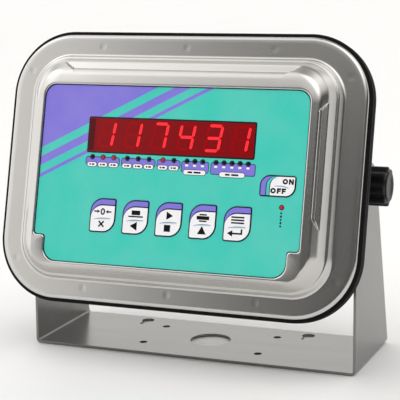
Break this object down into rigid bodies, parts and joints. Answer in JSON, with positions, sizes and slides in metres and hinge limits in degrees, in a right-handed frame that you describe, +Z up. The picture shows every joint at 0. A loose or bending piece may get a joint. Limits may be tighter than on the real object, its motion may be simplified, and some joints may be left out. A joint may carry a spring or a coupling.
{
  "type": "weighing indicator",
  "caption": "Bracket-mounted weighing indicator: tilting stainless case with a pressed cover, red digit display, status lamps, membrane keys, side clamp knobs and cable glands.",
  "frame": {"origin": "centre of the base's cable hole, on the underside of the base plate", "axes": "+X to the viewer's right, along the axis that the case tilts about; +Y from the keypad side to the back; +Z up, along the cable hole"},
  "size_m": [0.298, 0.1408, 0.2456],
  "materials": {
    "satin_steel": "satin, fine grain",
    "bright_steel": "bright turned",
    "black_rubber": "matt black rubber",
    "label_film": "printed polyester film",
    "backing_plate": "plain sheet",
    "red_window": "dark red filter",
    "spring_steel": "thin spring steel",
    "copper_film": "amber film with copper tracks",
    "key_film": "embossed printed film",
    "circuit_board": "green solder mask",
    "lamp_plastic": "dark red epoxy",
    "spacer_brass": "plated brass",
    "terminal_plastic": "green moulding",
    "iron_core": "laminated core with tape",
    "blue_plastic": "blue moulding",
    "black_plastic": "black moulding",
    "grey_cable": "flat grey cable",
    "plated_brass": "nickel plated brass",
    "earth_brass": "bright brass",
    "knob_plastic": "black moulding"
  },
  "bodies": {
    "bracket": {"bracket": "satin_steel"},
    "case": {"rear_housing": "satin_steel", "front_cover": "satin_steel", "cover_gasket": "black_rubber", "cover_studs": "bright_steel", "stud_washers": "bright_steel", "stud_nuts": "bright_steel", "label_overlay": "label_film", "keypad_backing": "backing_plate", "display_window": "red_window", "snap_domes": "spring_steel", "keypad_tail": "copper_film", "display_board": "circuit_board", "digit_modules": "lamp_plastic", "status_lamps": "lamp_plastic", "alarm_lamp": "lamp_plastic", "display_spacers": "spacer_brass", "display_screws": "bright_steel", "main_board": "circuit_board", "main_spacers": "spacer_brass", "main_screws": "bright_steel", "terminal_blocks": "terminal_plastic", "transformer": "iron_core", "relays": "blue_plastic", "processor": "black_plastic", "fuse_holder": "black_plastic", "capacitors": "blue_plastic", "ribbon_cable": "grey_cable", "ribbon_sockets": "black_plastic", "gland_bodies": "plated_brass", "gland_seals": "black_rubber", "gland_caps": "plated_brass", "gland_locknuts": "plated_brass", "vent_plug": "black_plastic", "earth_stud": "earth_brass", "earth_nut": "earth_brass", "pivot_bosses": "bright_steel", "pivot_pads": "black_rubber"},
    "key_zero_body": {"key_zero": "key_film"},
    "key_left_body": {"key_left": "key_film"},
    "key_run_body": {"key_run": "key_film"},
    "key_up_body": {"key_up": "key_film"},
    "key_enter_body": {"key_enter": "key_film"},
    "key_power_body": {"key_power": "key_film"},
    "left_clamp": {"left_washer": "bright_steel"},
    "left_turn": {"left_knob": "knob_plastic", "left_screw": "bright_steel"},
    "right_clamp": {"right_washer": "bright_steel"},
    "right_turn": {"right_knob": "knob_plastic", "right_screw": "bright_steel"}
  },
  "joints": [
    {"name": "case_tilt", "type": "hinge", "parent": "bracket", "child": "case", "pos_m": [0, -0.0165, 0.1356], "axis": [-1, 0, 0], "range_deg": [-14, 60]},
    {"name": "key_zero_press", "type": "slide", "parent": "case", "child": "key_zero_body", "axis": [0, 0.9641, -0.2656], "range_m": [0, 0.0004], "stiffness_N_per_m": 2500},
    {"name": "key_left_press", "type": "slide", "parent": "case", "child": "key_left_body", "axis": [0, 0.9641, -0.2656], "range_m": [0, 0.0004], "stiffness_N_per_m": 2500},
    {"name": "key_run_press", "type": "slide", "parent": "case", "child": "key_run_body", "axis": [0, 0.9641, -0.2656], "range_m": [0, 0.0004], "stiffness_N_per_m": 2500},
    {"name": "key_up_press", "type": "slide", "parent": "case", "child": "key_up_body", "axis": [0, 0.9641, -0.2656], "range_m": [0, 0.0004], "stiffness_N_per_m": 2500},
    {"name": "key_enter_press", "type": "slide", "parent": "case", "child": "key_enter_body", "axis": [0, 0.9641, -0.2656], "range_m": [0, 0.0004], "stiffness_N_per_m": 2500},
    {"name": "key_power_press", "type": "slide", "parent": "case", "child": "key_power_body", "axis": [0, 0.9641, -0.2656], "range_m": [0, 0.0004], "stiffness_N_per_m": 2500},
    {"name": "left_knob_slide", "type": "slide", "parent": "case", "child": "left_clamp", "axis": [-1, 0, 0], "range_m": [0, 0.0025]},
    {"name": "left_knob_turn", "type": "hinge", "parent": "left_clamp", "child": "left_turn", "pos_m": [-0.14, -0.0165, 0.1356], "axis": [-1, 0, 0], "range_deg": [0, 720]},
    {"name": "right_knob_slide", "type": "slide", "parent": "case", "child": "right_clamp", "axis": [1, 0, 0], "range_m": [0, 0.0025]},
    {"name": "right_knob_turn", "type": "hinge", "parent": "right_clamp", "child": "right_turn", "pos_m": [0.14, -0.0165, 0.1356], "axis": [1, 0, 0], "range_deg": [0, 720]}
  ],
  "couplings": [
    {"joint": "left_knob_turn", "follows": "left_knob_slide", "rad_per_m": 5026.5},
    {"joint": "right_knob_turn", "follows": "right_knob_slide", "rad_per_m": 5026.5}
  ]
}
